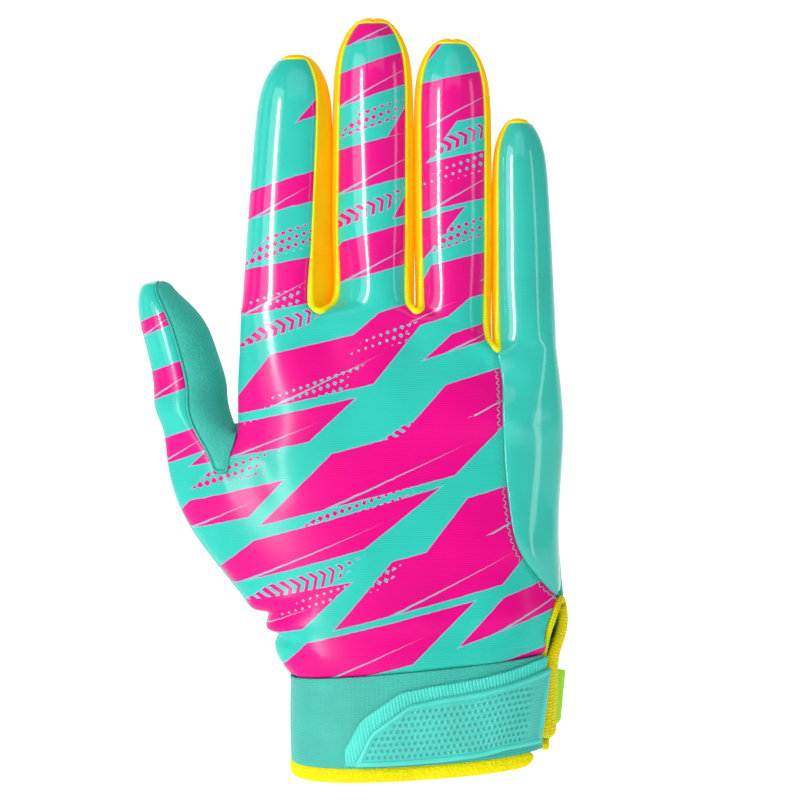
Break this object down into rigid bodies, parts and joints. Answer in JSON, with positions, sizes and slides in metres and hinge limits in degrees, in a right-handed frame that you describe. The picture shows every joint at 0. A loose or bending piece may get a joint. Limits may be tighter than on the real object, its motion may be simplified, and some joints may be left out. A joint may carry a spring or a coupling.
{
  "type": "football receiver glove",
  "caption": "Snug stretch glove for the right hand, filled as when worn, with side walls between the fingers, an elastic cuff, a slit at the wrist and a wrap strap.",
  "frame": {"origin": "middle of the wrist opening, at the height of the hem", "axes": "+Z runs from the hem to the fingertips, +X to the little finger, -Y out of the back of the hand"},
  "size_m": [0.1306, 0.0474, 0.2275],
  "materials": {
    "printed_cloth": "glossy stretch cloth with a raised print",
    "plain_cloth": "glossy stretch cloth",
    "palm_cloth": "plain grip cloth",
    "grained_cloth": "fine grained, matte",
    "gusset_cloth": "soft knit",
    "cuff_knit": "fine ribbed elastic",
    "yellow_binding": "woven edging, slightly grainy",
    "strap_cloth": "ribbed band",
    "moulded_rubber": "moulded with small dimples",
    "tab_tape": "woven tape"
  },
  "bodies": {
    "root": {"back_panel": "printed_cloth", "little_finger_panel": "plain_cloth", "palm_panel": "palm_cloth", "thumb_inner_panel": "grained_cloth", "gusset_index_middle": "gusset_cloth", "gusset_middle_ring": "gusset_cloth", "gusset_ring_little": "gusset_cloth", "cuff": "cuff_knit", "hem_binding": "yellow_binding", "slit_binding": "yellow_binding", "strap_base": "strap_cloth", "strap_patch": "moulded_rubber", "pull_tab": "tab_tape"}
  },
  "joints": []
}
